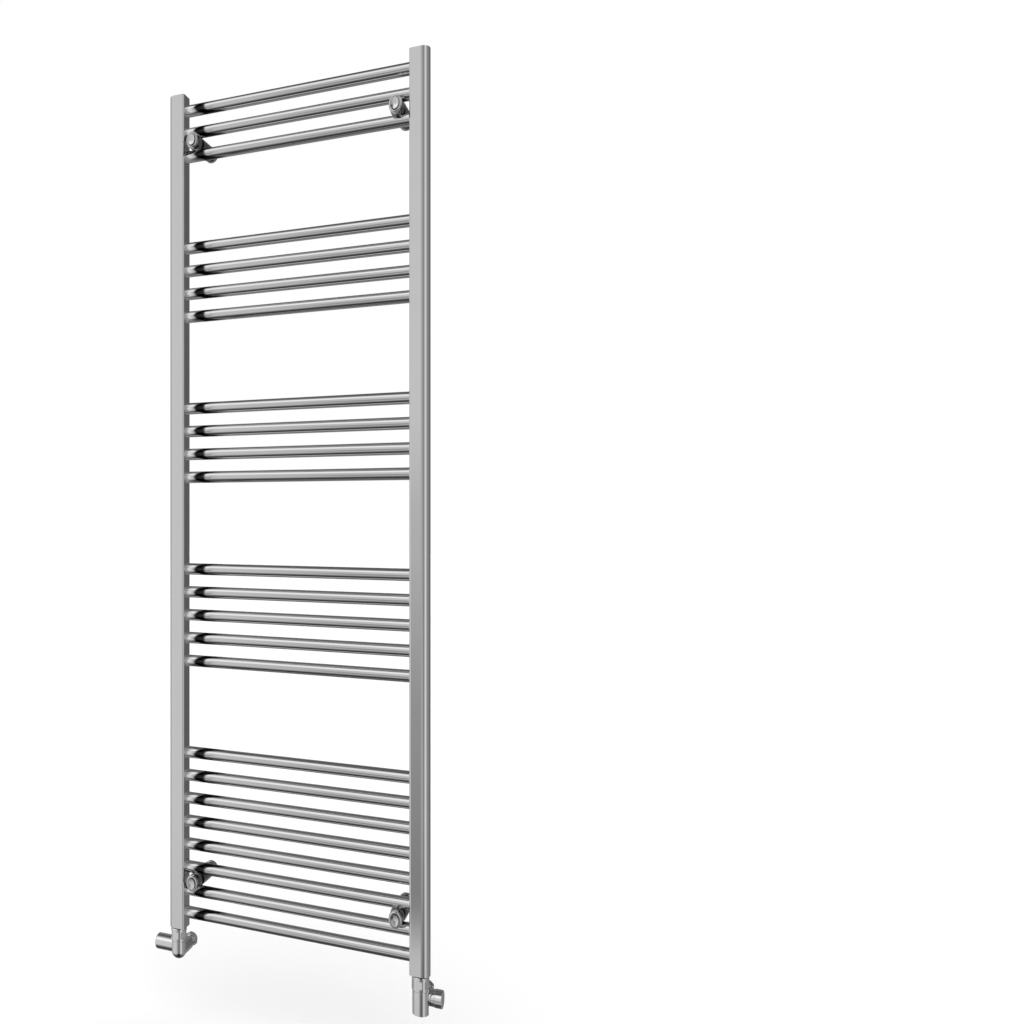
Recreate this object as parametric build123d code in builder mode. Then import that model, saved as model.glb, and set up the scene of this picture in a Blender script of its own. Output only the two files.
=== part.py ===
from build123d import *
import os

# Ladder towel radiator on four wall brackets, with a corner handwheel valve under its left upright
# and a corner lockshield valve with a spare port under its right upright.
# Frame: the origin is on the wall, midway between the four wall fixings. X runs along the width,
# the front faces -Y and +Z is up. All sizes are in millimetres.

# ---- Small shapes used all over ----
fine_edge = 0.5
broad_edge = 0.8
cut_margin = 1.0
# A thread ring as (share of the pitch, share of the thread's depth).
thread_ring = ((0.0, 0.0), (0.15, 0.0), (0.42, 1.0), (0.62, 1.0), (0.9, 0.0))

# ---- Ladder ----
height = 1600.0
width = 500.0
wall_to_axis = 68.0
upright_width = 34.0
upright_depth = 28.0
upright_wall = 1.5
upright_corner = 3.0
least_corner = 0.1
rung_diameter = 22.0
rung_wall = 1.5
bank_counts = (3, 4, 4, 5, 8)
bank_step = 4
end_margin = 30.0

# ---- End ports, G1/2 ----
port_thread_radius = 10.48
port_thread_root = 9.35
thread_pitch = 1.814
thread_clearance = 0.12
thread_relief = 0.6
end_plate_thickness = 5.0
port_boss_clearance = 0.1
port_boss_depth = 14.0

# ---- Top plugs ----
plug_head_radius = 12.0
plug_head_thickness = 2.4
plug_thread_length = 9.0
plug_socket_flats = 8.0
plug_socket_depth = 6.0
plug_seal_thickness = 1.0
plug_recess_clearance = 0.2
plug_face_setback = 0.2
bleed_screw_radius = 3.0
bleed_screw_length = 8.0
bleed_head_square = 5.0
bleed_head_height = 3.2
bleed_head_setback = 0.6
bleed_head_gap = 0.1
bleed_thread_top = 0.3
bleed_pocket_radius = 4.6
bleed_bore_below = 1.0
vent_outlet_radius = 0.9

# ---- Wall brackets ----
bracket_inset = 22.0
clamp_grip = 4.5
clamp_width = 23.5
clamp_front = 26.3
clamp_face_round = 1.8
clamp_rim_depth = 4.5
clamp_rim_inset = 0.9
clamp_gap = 4.0
seat_clearance = 0.05
arm_grip = 3.2
arm_to_flange = 7.0
arm_bore_to_axis = 18.0
spigot_radius = 9.0
spigot_bore_radius = 6.0
spigot_to_bore_end = 8.0
spigot_clearance = 0.08
flange_radius = 13.0
flange_thickness = 8.0
flange_chamfer = 1.2
wall_hole_radius = 2.75
wall_hole_depth = 4.0
clamp_screw_radius = 3.0
clamp_screw_head_radius = 5.0
clamp_screw_head_height = 6.0
clamp_screw_key = 5.0
clamp_screw_head_depth = 15.0
clamp_screw_clearance = 0.1
clamp_screw_end = 12.0
cover_rim = 3.5
cover_seat_depth = 1.6
cover_proud = 2.2
cover_round = 1.5
cover_clearance = 0.2
cover_skirt_radius = 6.0
cover_skirt_wall = 0.6
cover_skirt_length = 4.0
skirt_clearance = 0.1
grub_screw_radius = 2.5
grub_screw_key = 2.5
grub_key_floor = 0.8
grub_gap = 0.05
grub_sunk = 0.3
grub_setback = 4.0

# ---- Valves: run up to the radiator, pipe to the wall, head outwards ----
run_radius = 14.0
run_bore_radius = 7.75
run_top = 20.5
head_offset = 22.0
tail_shank_radius = 10.0
tail_shank_bottom = 9.0
tail_socket_clearance = 0.1
tail_groove = 1.5
tail_groove_radius = 12.6
tail_collar_radius = 15.0
tail_collar_top = 46.5
tail_flats = 28.0
tail_flats_bottom = 27.5
tail_flats_top = 40.5
tail_thread_length = 8.5
tail_seal_gap = 1.6
tail_seal_recess = 1.0
tail_seal_ring_radius = 12.0
tail_seal_clearance = 0.1
spare_port_depth = 19.5
spare_port_radius = 9.35
spare_port_length = 13.0
spare_port_chamfer = 1.2

pipe_radius = 7.5
pipe_socket_clearance = 0.1
pipe_socket_start = 18.0
pipe_boss_step = 2.85
pipe_boss_length = 16.0
pipe_boss_taper = 0.2
pipe_thread_wall = 0.45
pipe_thread_depth = 0.85
pipe_thread_length = 16.0
pipe_stop_step = 1.0
pipe_pocket_start = 12.0
passage_overrun = 2.0
mouth_cone_length = 3.5
nut_setback = 8.0
nut_wall = 1.85
nut_hex_length = 11.0
nut_ring_step = 1.2
nut_ring_length = 3.0
nut_lip = 1.2
nut_hole_clearance = 0.25
nut_thread_clearance = 0.15
nut_back_bevel = 1.0
nut_front_bevel = 1.7
nut_corner_margin = 0.1
nut_thread_end = 0.6
nut_cone_length = 2.2
nut_cone_step = 0.4
olive_length = 7.4
olive_wall = 0.35
olive_band_height = 1.6
olive_clearance = 0.1
olive_front_gap = 0.1
olive_band_gap = 0.2
olive_front_cone = 2.4

seat_level = -1.0
seat_radius = 4.5
seat_passage_radius = 3.2
seat_passage_level = -5.5
outlet_passage_radius = 4.0
outlet_passage_level = 3.6
chamber_radius = 8.5
headwork_clearance = 0.05
headwork_bottom = 8.5
headwork_neck_radius = 7.5
headwork_flange_thickness = 3.0
headwork_flange_step = 2.0
jumper_flats = 9.8
jumper_clearance = 0.1
jumper_washer_radius = 6.2
jumper_washer_thickness = 2.5
jumper_flange_thickness = 1.1
jumper_top = 14.0
jumper_bore_bottom = 4.0
jumper_thread_radius = 3.0
spindle_bottom = 9.5
spindle_clearance = 0.06
spindle_collar_radius = 4.8
spindle_collar_bottom = 19.6
spindle_collar_top = 21.4
spindle_shoulder = 21.5
spindle_radius = 4.0
spindle_square = 5.4
spindle_groove_radius = 2.9
spindle_groove_width = 2.2
spindle_seal_thickness = 1.04
spindle_seal_gap = 0.02
spindle_tip_bevel = 0.4

handwheel_neck_radius = 13.35
handwheel_seat = 18.0
handwheel_gap = 0.4
handwheel_radius = 15.0
handwheel_top = 56.0
handwheel_wall = 2.0
handwheel_rim_chamfer = 1.4
handwheel_rim_step = 0.7
handwheel_rim_drop = 0.4
handwheel_disc_radius = 13.1
handwheel_disc_thickness = 2.2
handwheel_disc_proud = 0.9
handwheel_disc_clearance = 0.35
handwheel_hub_radius = 6.5
handwheel_hub_bottom = 36.0
handwheel_headwork_top = 34.0
handwheel_spindle_top = 47.0
handwheel_seal_level = 28.0
handwheel_screw_radius = 1.95
handwheel_screw_head_radius = 3.6
handwheel_screw_head_height = 2.4
handwheel_screw_length = 8.0
handwheel_screw_fit = 0.05
handwheel_screw_clearance = 0.2
handwheel_screw_end_gap = 0.5
handwheel_slot_width = 0.9
handwheel_slot_depth = 1.1
handwheel_square_fit = 0.1
handwheel_square_gap = 0.2
handwheel_hub_step = 1.0
handwheel_web_top = 50.0
handwheel_web_thickness = 2.5

lockshield_body_radius = 14.35
lockshield_seat = 21.0
lockshield_headwork_top = 28.0
lockshield_spindle_top = 31.4
lockshield_seal_level = 25.3
cap_radius = 15.25
cap_top = 34.5
cap_roof = 2.2
cap_gap = 0.3
cap_edge = 1.0
cap_flange_radius = 13.1
cap_clearance = 0.1

# ---- Places worked out from the sizes above ----
rung_radius = rung_diameter / 2
rung_bore = rung_radius - rung_wall
grid_steps = sum(bank_counts) - len(bank_counts) + bank_step * (len(bank_counts) - 1)
rung_pitch = (height - 2 * end_margin) / grid_steps
axis_y = -wall_to_axis
inner_face = width / 2 - upright_width
port_x = width / 2 - upright_width / 2
bracket_x = inner_face - bracket_inset
bracket_z = height / 2 - end_margin - 1.5 * rung_pitch
rung_gap = rung_pitch - rung_diameter
clamp_height = rung_gap + 2 * clamp_grip
cover_height = clamp_height - 2 * cover_rim
cover_width = clamp_width - 2 * cover_rim
arm_radius = rung_gap / 2 + arm_grip
arm_end_to_wall = flange_thickness + arm_to_flange
spigot_length = wall_to_axis - arm_bore_to_axis - spigot_to_bore_end
valve_z = -height / 2 - tail_seal_gap - tail_collar_top
handwheel_side = -1
lockshield_side = 1
pipe_mouth = head_offset + pipe_boss_length + pipe_thread_length
nut_start = head_offset + pipe_boss_length + nut_setback
nut_face = nut_start + nut_hex_length + nut_ring_length
pipe_socket_radius = pipe_radius + pipe_socket_clearance
pipe_pocket_radius = pipe_radius - pipe_stop_step
olive_band_radius = pipe_radius + olive_band_height
pipe_thread_root = olive_band_radius + pipe_thread_wall
pipe_thread_radius = pipe_thread_root + pipe_thread_depth
pipe_boss_radius = pipe_thread_radius + pipe_boss_step
nut_flats = 2 * (pipe_thread_radius + nut_wall)
nut_ring_radius = pipe_thread_radius + nut_ring_step
nut_hole_radius = pipe_radius + nut_hole_clearance
sides = {"left": -1, "right": 1}

os.makedirs("parts", exist_ok=True)


def save(piece, name):
    """Label a finished piece and write it."""
    piece.part.label = name
    export_step(piece.part, f"parts/{name}.step")


def bank_heights():
    """Heights of the rungs, bank by bank, from the top."""
    banks = []
    step = 0
    for count in bank_counts:
        banks.append([height / 2 - end_margin - (step + i) * rung_pitch for i in range(count)])
        step += count - 1 + bank_step
    return banks


def upright_section(side, inset, level):
    """The D of an upright, flat towards the rungs and round outside, drawn inset from its skin."""
    half = upright_depth / 2
    flat = upright_width - half
    with BuildSketch(Plane.XY.offset(level)) as section:
        with Locations((side * (inner_face + (flat + inset) / 2), axis_y)):
            Rectangle(flat - inset, 2 * (half - inset))
        corners = section.vertices().group_by(Axis.X)[0 if side > 0 else -1]
        fillet(corners, max(upright_corner - inset, least_corner))
        with Locations((side * (inner_face + flat), axis_y)):
            Circle(half - inset)
    return section.sketch


def turn(plane, outline, mode=Mode.ADD):
    """Turn an outline of (radius, height) points about the plane's normal, in the open part."""
    with BuildSketch(Plane(origin=plane.origin, x_dir=plane.x_dir, z_dir=-plane.y_dir)) as section:
        with BuildLine():
            Polyline(*outline, close=True)
        make_face()
    revolve(section.sketch, axis=Axis(plane.origin, plane.z_dir), mode=mode)


def rod(plane, radius, start, end, mode=Mode.ADD):
    """A round bar or hole along the plane's normal, in the open part."""
    with BuildSketch(plane.offset(start)) as disc:
        Circle(radius)
    extrude(disc.sketch, amount=end - start, mode=mode)


def prism(plane, flats, sides_count, start, end, mode=Mode.ADD):
    """A square or hexagonal bar or socket along the plane's normal, in the open part."""
    with BuildSketch(plane.offset(start)) as shape:
        RegularPolygon(flats / 2, sides_count, major_radius=False)
    extrude(shape.sketch, amount=end - start, mode=mode)


def thread_crests(crest, root, start, end):
    """Outline points of an outside thread's rings, from start up to end."""
    turns = round((end - start) / thread_pitch)
    pitch = (end - start) / turns
    points = []
    for i in range(turns):
        foot = start + i * pitch
        for along, depth in thread_ring:
            points.append((root + depth * (crest - root), foot + along * pitch))
    return points + [(root, end)]


def bracket_plane(side, level):
    """The axis of a wall bracket, from the wall towards the room."""
    return Plane(origin=(side * bracket_x, 0, level * bracket_z), x_dir=(0, 0, 1), z_dir=(0, -1, 0))


def run_plane(side):
    """The axis of a valve's run, up to the radiator, from the crossing of its run and pipe axes."""
    return Plane(origin=(side * port_x, axis_y, valve_z), x_dir=(1, 0, 0), z_dir=(0, 0, 1))


def pipe_plane(side):
    """The axis of a valve's pipe end, towards the wall, from the crossing of its run and pipe axes."""
    return Plane(origin=(side * port_x, axis_y, valve_z), x_dir=(0, 0, 1), z_dir=(0, 1, 0))


def head_plane(side):
    """The axis of a valve's head, outwards, from its crossing with the pipe axis."""
    origin = (side * port_x, axis_y + head_offset, valve_z)
    return Plane(origin=origin, x_dir=(0, 0, 1), z_dir=(side, 0, 0))


# ---- Uprights and rungs ----
banks = bank_heights()
all_rungs = [level for bank in banks for level in bank]

for place, side in sides.items():
    with BuildPart() as upright:
        extrude(upright_section(side, 0, -height / 2), amount=height)
        extrude(upright_section(side, upright_wall, -height / 2), amount=height, mode=Mode.SUBTRACT)
        with BuildSketch(Plane.YZ.offset(side * inner_face)) as waterways:
            with Locations(*[(axis_y, level) for level in all_rungs]):
                Circle(rung_bore)
        extrude(waterways.sketch, amount=2 * upright_wall, both=True, mode=Mode.SUBTRACT)
    save(upright, f"{place}_upright")

for number, bank in enumerate(banks, start=1):
    with BuildPart() as rungs:
        with BuildSketch(Plane.YZ.offset(-inner_face)):
            with Locations(*[(axis_y, level) for level in bank]):
                Circle(rung_radius)
                Circle(rung_bore, mode=Mode.SUBTRACT)
        extrude(amount=2 * inner_face)
    save(rungs, f"rung_bank_{number}")

# ---- End plates with their threaded bosses ----
port_radius = port_thread_radius + thread_clearance
port_boss_radius = upright_depth / 2 - upright_wall - port_boss_clearance

for place, side in sides.items():
    with BuildPart() as lower_plate:
        extrude(upright_section(side, upright_wall, -height / 2), amount=end_plate_thickness)
        lower_port = Plane(origin=(side * port_x, axis_y, -height / 2))
        rod(lower_port, port_boss_radius, 0, port_boss_depth)
        rod(lower_port, port_radius, 0, port_boss_depth, mode=Mode.SUBTRACT)
    save(lower_plate, f"{place}_lower_end_plate")

    with BuildPart() as upper_plate:
        level = height / 2 - end_plate_thickness
        extrude(upright_section(side, upright_wall, level), amount=end_plate_thickness)
        upper_port = Plane(origin=(side * port_x, axis_y, height / 2), x_dir=(1, 0, 0), z_dir=(0, 0, -1))
        plug_recess = plug_head_thickness + plug_seal_thickness + plug_face_setback
        rod(upper_port, port_boss_radius, 0, port_boss_depth)
        rod(upper_port, port_radius, 0, port_boss_depth, mode=Mode.SUBTRACT)
        rod(upper_port, plug_head_radius + plug_recess_clearance, 0, plug_recess, mode=Mode.SUBTRACT)
    save(upper_plate, f"{place}_upper_end_plate")

# ---- Top plugs: an air vent on the left, a blank on the right ----
plug_under_head = -plug_head_thickness
plug_seal_bottom = plug_under_head - plug_seal_thickness
plug_end = plug_seal_bottom - plug_thread_length


def plug_plane(side):
    """The axis of a top plug, upwards, from its outer face."""
    return Plane(origin=(side * port_x, axis_y, height / 2 - plug_face_setback))


def plug_blank(side):
    """The head and thread that both top plugs share, in the open part."""
    outline = [(0, plug_end), (port_thread_root, plug_end)]
    outline += thread_crests(port_thread_radius, port_thread_root, plug_end + fine_edge, plug_seal_bottom)
    outline += [(port_thread_root, plug_under_head), (plug_head_radius, plug_under_head)]
    outline += [(plug_head_radius, -fine_edge), (plug_head_radius - fine_edge, 0), (0, 0)]
    turn(plug_plane(side), outline)


vent_plane = plug_plane(sides["left"])
bleed_pocket_floor = -bleed_head_height - bleed_head_setback
bleed_screw_end = bleed_pocket_floor - bleed_screw_length
bleed_bore_radius = bleed_screw_radius + spindle_clearance

with BuildPart() as air_vent_plug:
    plug_blank(sides["left"])
    rod(vent_plane, bleed_pocket_radius, bleed_pocket_floor, 0, mode=Mode.SUBTRACT)
    rod(vent_plane, bleed_bore_radius, bleed_screw_end - bleed_bore_below, 0, mode=Mode.SUBTRACT)
    rod(vent_plane, vent_outlet_radius, plug_end, 0, mode=Mode.SUBTRACT)
save(air_vent_plug, "air_vent_plug")

with BuildPart() as bleed_screw:
    rod(vent_plane, bleed_screw_radius, bleed_screw_end, bleed_pocket_floor + bleed_thread_top)
    prism(vent_plane, bleed_head_square, 4, bleed_pocket_floor + bleed_head_gap,
          bleed_pocket_floor + bleed_head_height)
    chamfer(bleed_screw.edges().group_by(Axis.Z)[0], broad_edge)
save(bleed_screw, "bleed_screw")

with BuildPart() as blanking_plug:
    plug_blank(sides["right"])
    prism(plug_plane(sides["right"]), plug_socket_flats, 6, -plug_socket_depth, 0, mode=Mode.SUBTRACT)
save(blanking_plug, "blanking_plug")

for name, side in (("air_vent_seal", sides["left"]), ("blanking_plug_seal", sides["right"])):
    with BuildPart() as plug_seal:
        rod(plug_plane(side), plug_head_radius, plug_seal_bottom, plug_under_head)
        rod(plug_plane(side), port_radius, plug_seal_bottom, plug_under_head, mode=Mode.SUBTRACT)
    save(plug_seal, name)

# ---- Wall brackets ----
# Distances along a bracket's axis are measured from the wall towards the room.
arm_front = wall_to_axis - clamp_gap / 2
arm_bore_end = wall_to_axis - arm_bore_to_axis
arm_bore = spigot_radius + spigot_clearance
clamp_rear = wall_to_axis + clamp_gap / 2
clamp_face = wall_to_axis + clamp_front
clamp_rim = clamp_face - clamp_rim_depth
cover_seat = clamp_face - cover_seat_depth
screw_head_seat = clamp_face - clamp_screw_head_depth
screw_end = wall_to_axis - clamp_screw_end
screw_hole = clamp_screw_radius + clamp_screw_clearance
grub_level = arm_end_to_wall + grub_setback
corners = {}
for place, side in sides.items():
    corners[f"upper_{place}"] = (side, 1)
    corners[f"lower_{place}"] = (side, -1)


def cut_rung_seats(side, level):
    """Hollow the open part where it sits on the two rungs that it clamps."""
    reach = max(arm_radius, clamp_width / 2) + cut_margin
    for offset in (-rung_pitch / 2, rung_pitch / 2):
        seat = Plane(origin=(0, axis_y, level * bracket_z + offset), x_dir=(0, 1, 0), z_dir=(1, 0, 0))
        rod(seat, rung_radius + seat_clearance, side * bracket_x - reach, side * bracket_x + reach,
            mode=Mode.SUBTRACT)


def oval(plane, tall, wide, start, end, mode=Mode.ADD):
    """An upright oval bar or recess along the plane's normal, in the open part."""
    with BuildSketch(plane.offset(start)) as shape:
        Ellipse(tall / 2, wide / 2)
    extrude(shape.sketch, amount=end - start, mode=mode)


def grub_plane(side, level):
    """The axis of a bracket's grub screw, downwards, from its crossing with the bracket's axis."""
    crossing = bracket_plane(side, level).from_local_coords(Vector(0, 0, grub_level))
    return Plane(origin=crossing, x_dir=(0, 1, 0), z_dir=(0, 0, -1))


for corner, (side, level) in corners.items():
    axis = bracket_plane(side, level)

    with BuildPart() as wall_spigot:
        turn(axis, [
            (wall_hole_radius, 0), (flange_radius, 0), (flange_radius, flange_thickness - flange_chamfer),
            (flange_radius - flange_chamfer, flange_thickness), (spigot_radius, flange_thickness),
            (spigot_radius, spigot_length - fine_edge), (spigot_radius - fine_edge, spigot_length),
            (spigot_bore_radius, spigot_length), (spigot_bore_radius, wall_hole_depth),
            (wall_hole_radius, wall_hole_depth),
        ])
    save(wall_spigot, f"{corner}_wall_spigot")

    with BuildPart() as bracket_arm:
        turn(axis, [
            (arm_bore, arm_end_to_wall), (arm_radius - fine_edge, arm_end_to_wall),
            (arm_radius, arm_end_to_wall + fine_edge), (arm_radius, arm_front), (screw_hole, arm_front),
            (screw_hole, arm_bore_end), (arm_bore, arm_bore_end),
        ])
        cut_rung_seats(side, level)
        rod(grub_plane(side, level), grub_screw_radius + clamp_screw_clearance, 0,
            arm_radius + cut_margin, mode=Mode.SUBTRACT)
    save(bracket_arm, f"{corner}_bracket_arm")

    with BuildPart() as front_clamp:
        oval(axis, clamp_height, clamp_width, clamp_rear, clamp_rim)
        oval(axis, clamp_height - 2 * clamp_rim_inset, clamp_width - 2 * clamp_rim_inset,
             clamp_rim, clamp_face)
        fillet(front_clamp.faces().sort_by(Axis.Y)[0].edges(), clamp_face_round)
        oval(axis, cover_height + 2 * cover_clearance, cover_width + 2 * cover_clearance,
             cover_seat, clamp_face, mode=Mode.SUBTRACT)
        rod(axis, cover_skirt_radius + skirt_clearance, screw_head_seat, cover_seat, mode=Mode.SUBTRACT)
        rod(axis, screw_hole, clamp_rear, screw_head_seat, mode=Mode.SUBTRACT)
        cut_rung_seats(side, level)
    save(front_clamp, f"{corner}_front_clamp")

with BuildPart() as clamp_screws:
    for side, level in corners.values():
        axis = bracket_plane(side, level)
        rod(axis, clamp_screw_radius, screw_end, screw_head_seat)
        rod(axis, clamp_screw_head_radius, screw_head_seat, screw_head_seat + clamp_screw_head_height)
        prism(axis, clamp_screw_key, 6, screw_head_seat + clamp_screw_head_height / 2,
              screw_head_seat + clamp_screw_head_height, mode=Mode.SUBTRACT)
save(clamp_screws, "bracket_clamp_screws")

with BuildPart() as screw_covers:
    for side, level in corners.values():
        axis = bracket_plane(side, level)
        oval(axis, cover_height, cover_width, cover_seat, clamp_face + cover_proud)
    fillet(screw_covers.faces().group_by(Axis.Y)[0].edges(), cover_round)
    for side, level in corners.values():
        axis = bracket_plane(side, level)
        skirt_end = cover_seat - cover_skirt_length
        rod(axis, cover_skirt_radius, skirt_end, cover_seat)
        rod(axis, cover_skirt_radius - cover_skirt_wall, skirt_end, cover_seat, mode=Mode.SUBTRACT)
save(screw_covers, "bracket_screw_covers")

with BuildPart() as grub_screws:
    for side, level in corners.values():
        axis = grub_plane(side, level)
        grub_start = spigot_radius + grub_gap
        rod(axis, grub_screw_radius, grub_start, arm_radius - grub_sunk)
        prism(axis, grub_screw_key, 6, grub_start + grub_key_floor, arm_radius - grub_sunk,
              mode=Mode.SUBTRACT)
save(grub_screws, "bracket_grub_screws")


# ---- Pieces that both valves share ----
def valve_shell(side, body_radius, body_top):
    """The outside of a valve body down to its pipe boss, in the open part."""
    run, pipe, head = run_plane(side), pipe_plane(side), head_plane(side)
    rod(run, run_radius, 0, run_top)
    rod(head, body_radius, 0, body_top)
    with Locations(head.origin):
        Sphere(body_radius)
    boss_end = head_offset + pipe_boss_length
    turn(pipe, [(0, 0), (pipe_boss_radius - pipe_boss_taper, 0), (pipe_boss_radius, head_offset),
                (pipe_boss_radius, boss_end - broad_edge), (pipe_boss_radius - broad_edge, boss_end),
                (0, boss_end)])
    turn(pipe, [(0, boss_end)]
         + thread_crests(pipe_thread_radius, pipe_thread_root, boss_end, pipe_mouth) + [(0, pipe_mouth)])


def valve_waterways(side, body_top):
    """The chamber under the head, its seat, the pipe socket and the tail socket, cut in the open part."""
    run, pipe, head = run_plane(side), pipe_plane(side), head_plane(side)
    rod(head, chamber_radius, seat_level, body_top, mode=Mode.SUBTRACT)
    rod(head, seat_radius, seat_passage_level, seat_level, mode=Mode.SUBTRACT)
    passage_end = head_offset + pipe_pocket_start + passage_overrun
    low_pipe = Plane(origin=pipe.origin + Vector(side * seat_passage_level, 0, 0), z_dir=pipe.z_dir)
    rod(low_pipe, seat_passage_radius, head_offset, passage_end, mode=Mode.SUBTRACT)
    rod(pipe, pipe_pocket_radius, head_offset + pipe_pocket_start, pipe_mouth, mode=Mode.SUBTRACT)
    socket_start = head_offset + pipe_socket_start
    cone_start = pipe_mouth - mouth_cone_length
    turn(pipe, [(0, socket_start), (pipe_socket_radius, socket_start), (pipe_socket_radius, cone_start),
                (olive_band_radius + olive_clearance, pipe_mouth), (0, pipe_mouth)], mode=Mode.SUBTRACT)
    high_pipe = Plane(origin=pipe.origin + Vector(side * outlet_passage_level, 0, 0), z_dir=pipe.z_dir)
    rod(high_pipe, outlet_passage_radius, 0, head_offset, mode=Mode.SUBTRACT)
    rod(run, tail_shank_radius + tail_socket_clearance, tail_shank_bottom, run_top, mode=Mode.SUBTRACT)


def union_tail(side):
    """The tail: a shank in the valve body, a collar with flats, and the thread for the radiator."""
    run = run_plane(side)
    collar_bottom = run_top + tail_groove
    thread_end = tail_collar_top + tail_thread_length
    recess_floor = tail_collar_top - tail_seal_recess
    seal_radius = (tail_seal_gap + tail_seal_recess) / 2
    recess_outer = tail_seal_ring_radius + seal_radius + tail_seal_clearance
    outline = [(run_bore_radius, tail_shank_bottom), (tail_shank_radius, tail_shank_bottom)]
    outline += [(tail_shank_radius, run_top), (tail_groove_radius, run_top)]
    outline += [(tail_groove_radius, collar_bottom), (tail_collar_radius - fine_edge, collar_bottom)]
    outline += [(tail_collar_radius, collar_bottom + fine_edge)]
    outline += [(tail_collar_radius, tail_collar_top - broad_edge)]
    outline += [(tail_collar_radius - broad_edge, tail_collar_top), (recess_outer, tail_collar_top)]
    outline += [(recess_outer, recess_floor), (port_thread_root, recess_floor)]
    outline += thread_crests(port_thread_radius, port_thread_root, tail_collar_top + thread_relief,
                             thread_end - thread_relief)
    outline += [(port_thread_root - fine_edge, thread_end), (run_bore_radius, thread_end)]
    with BuildPart() as tail:
        turn(run, outline)
        with BuildSketch(run.offset(tail_flats_bottom)) as around_flats:
            Circle(tail_collar_radius + cut_margin)
            RegularPolygon(tail_flats / 2, 6, major_radius=False, mode=Mode.SUBTRACT)
        extrude(around_flats.sketch, amount=tail_flats_top - tail_flats_bottom, mode=Mode.SUBTRACT)
    return tail


def tail_seal(side):
    """The O-ring between the tail's collar and the end of the upright."""
    seal_radius = (tail_seal_gap + tail_seal_recess) / 2
    with BuildPart() as seal:
        level = tail_collar_top - tail_seal_recess + seal_radius
        with Locations(run_plane(side).offset(level)):
            Torus(tail_seal_ring_radius, seal_radius)
    return seal


def compression_nut(side):
    """The hexagonal compression nut with its round front ring."""
    pipe = pipe_plane(side)
    ring_start = nut_start + nut_hex_length
    lip_start = nut_face - nut_lip
    hex_corner = nut_flats / 3**0.5
    hex_radius = hex_corner + nut_corner_margin
    thread_bore = pipe_thread_radius + nut_thread_clearance
    olive_bore = olive_band_radius + olive_clearance
    with BuildPart() as nut:
        prism(pipe, nut_flats, 6, nut_start, ring_start)
        turn(pipe, [(0, nut_start), (hex_radius - nut_back_bevel, nut_start),
                    (hex_radius, nut_start + nut_back_bevel), (hex_radius, ring_start - nut_front_bevel),
                    (hex_radius - nut_front_bevel, ring_start), (0, ring_start)], mode=Mode.INTERSECT)
        turn(pipe, [(0, ring_start), (nut_ring_radius, ring_start),
                    (nut_ring_radius, nut_face - broad_edge), (nut_ring_radius - broad_edge, nut_face),
                    (0, nut_face)])
        turn(pipe, [(0, nut_start), (thread_bore, nut_start), (thread_bore, pipe_mouth + nut_thread_end),
                    (olive_bore, pipe_mouth + nut_thread_end), (olive_bore, lip_start - nut_cone_length),
                    (nut_hole_radius + nut_cone_step, lip_start), (nut_hole_radius, lip_start),
                    (nut_hole_radius, nut_face), (0, nut_face)], mode=Mode.SUBTRACT)
    return nut


def compression_olive(side):
    """The copper olive between the nut and the mouth of the valve body."""
    bore = pipe_socket_radius
    front = nut_face - nut_lip - olive_front_gap
    back = front - olive_length
    with BuildPart() as olive:
        turn(pipe_plane(side), [
            (bore, back), (bore + olive_wall / 2, back), (olive_band_radius, pipe_mouth + olive_band_gap),
            (olive_band_radius, front - olive_front_cone), (bore + olive_wall, front), (bore, front),
        ])
    return olive


def headwork(side, body_top, flange_radius_here, top):
    """The headwork: a hexagonal guide for the jumper and a bore for the spindle."""
    head = head_plane(side)
    with BuildPart() as insert:
        rod(head, chamber_radius - headwork_clearance, headwork_bottom, body_top)
        rod(head, flange_radius_here, body_top, body_top + headwork_flange_thickness)
        rod(head, headwork_neck_radius, body_top + headwork_flange_thickness, top)
        prism(head, jumper_flats + 2 * jumper_clearance, 6, headwork_bottom, spindle_shoulder,
              mode=Mode.SUBTRACT)
        rod(head, spindle_radius + spindle_clearance, spindle_shoulder, top, mode=Mode.SUBTRACT)
    return insert


def jumper(side):
    """The jumper that the spindle's thread lifts off the seat without turning."""
    head = head_plane(side)
    bottom = seat_level + jumper_washer_thickness
    with BuildPart() as plunger:
        rod(head, jumper_washer_radius, bottom, bottom + jumper_flange_thickness)
        prism(head, jumper_flats, 6, bottom + jumper_flange_thickness, jumper_top)
        rod(head, jumper_thread_radius + spindle_clearance, jumper_bore_bottom, jumper_top,
            mode=Mode.SUBTRACT)
    return plunger


def jumper_washer(side):
    """The rubber washer that closes on the seat."""
    with BuildPart() as washer:
        rod(head_plane(side), jumper_washer_radius, seat_level, seat_level + jumper_washer_thickness)
    return washer


def spindle(side, top, seal_level, headwork_top):
    """The spindle: thread, collar, round shank with a seal groove, and a square end."""
    groove_end = seal_level + spindle_groove_width
    with BuildPart() as stem:
        turn(head_plane(side), [
            (0, spindle_bottom), (jumper_thread_radius - spindle_tip_bevel, spindle_bottom),
            (jumper_thread_radius, spindle_bottom + spindle_tip_bevel),
            (jumper_thread_radius, spindle_collar_bottom),
            (spindle_collar_radius, spindle_collar_bottom), (spindle_collar_radius, spindle_collar_top),
            (spindle_radius, spindle_collar_top), (spindle_radius, seal_level),
            (spindle_groove_radius, seal_level), (spindle_groove_radius, groove_end),
            (spindle_radius, groove_end), (spindle_radius, headwork_top), (0, headwork_top),
        ])
        prism(head_plane(side), spindle_square, 4, headwork_top, top)
    return stem


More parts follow.
